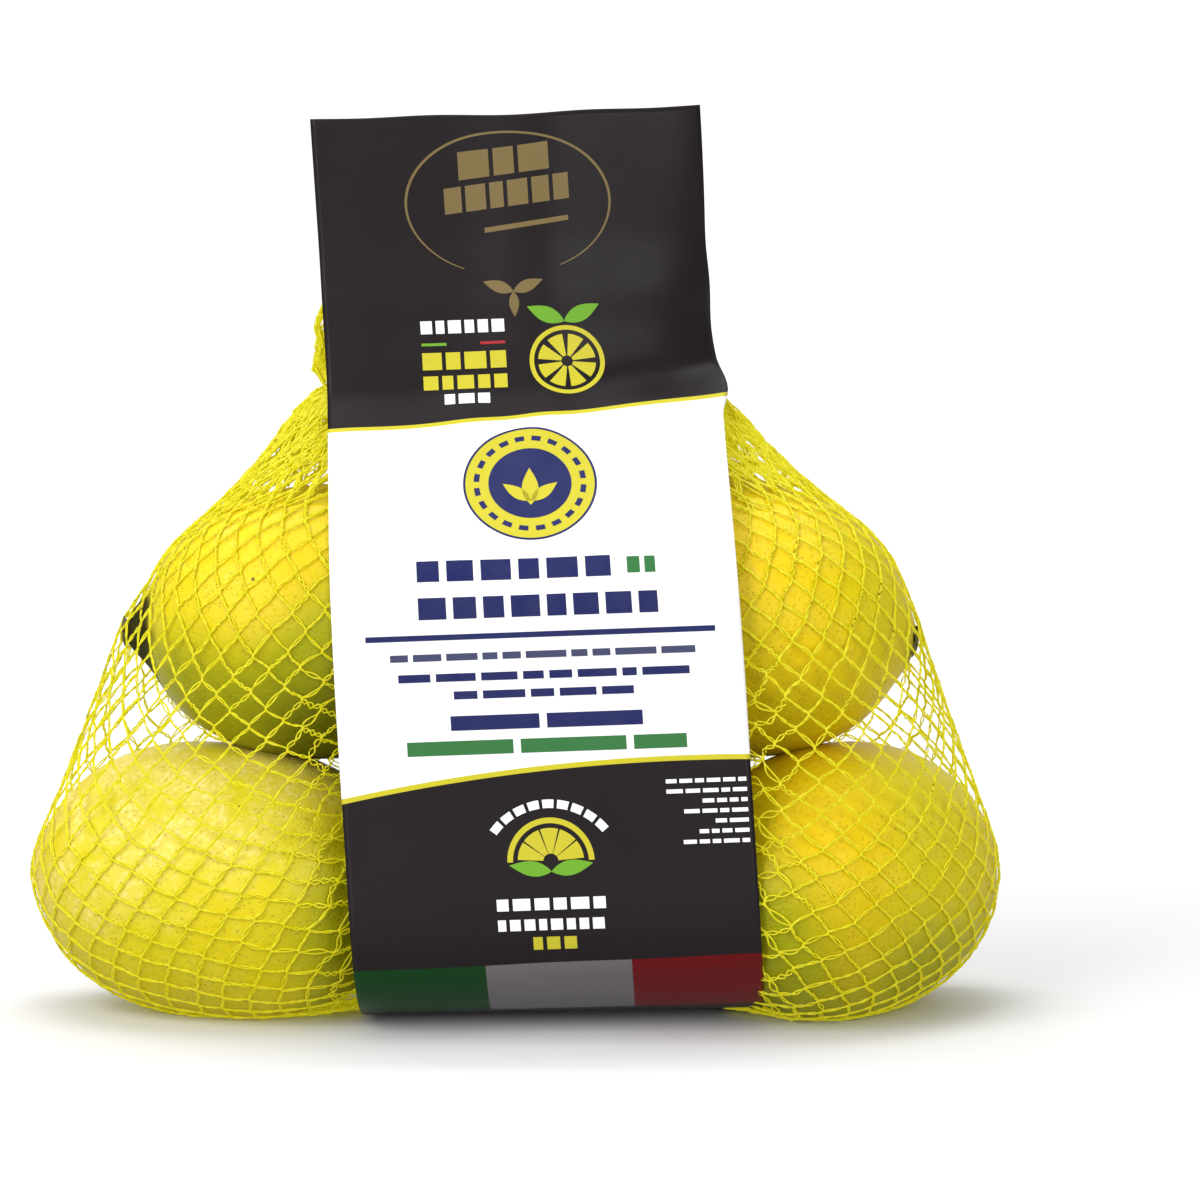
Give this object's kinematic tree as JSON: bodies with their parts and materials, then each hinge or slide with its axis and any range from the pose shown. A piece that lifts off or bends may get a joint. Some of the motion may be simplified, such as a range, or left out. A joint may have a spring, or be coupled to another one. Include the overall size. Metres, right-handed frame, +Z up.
{
  "type": "net of lemons",
  "caption": "Upright grocery pack: ripe lemons in a tight yellow knitted net, held by a wide printed film band that is sealed above them as a flat header.",
  "frame": {"origin": "on the table, under the middle of the pack", "axes": "+X to the viewer's right along the pack, +Y away from the printed front, +Z up"},
  "size_m": [0.2136, 0.0906, 0.1973],
  "materials": {
    "net": "matte knitted yarn",
    "rind": "waxy pored rind",
    "film": "satin printed film"
  },
  "bodies": {
    "root": {"net_bag": "net", "band": "film"}
  },
  "joints": []
}
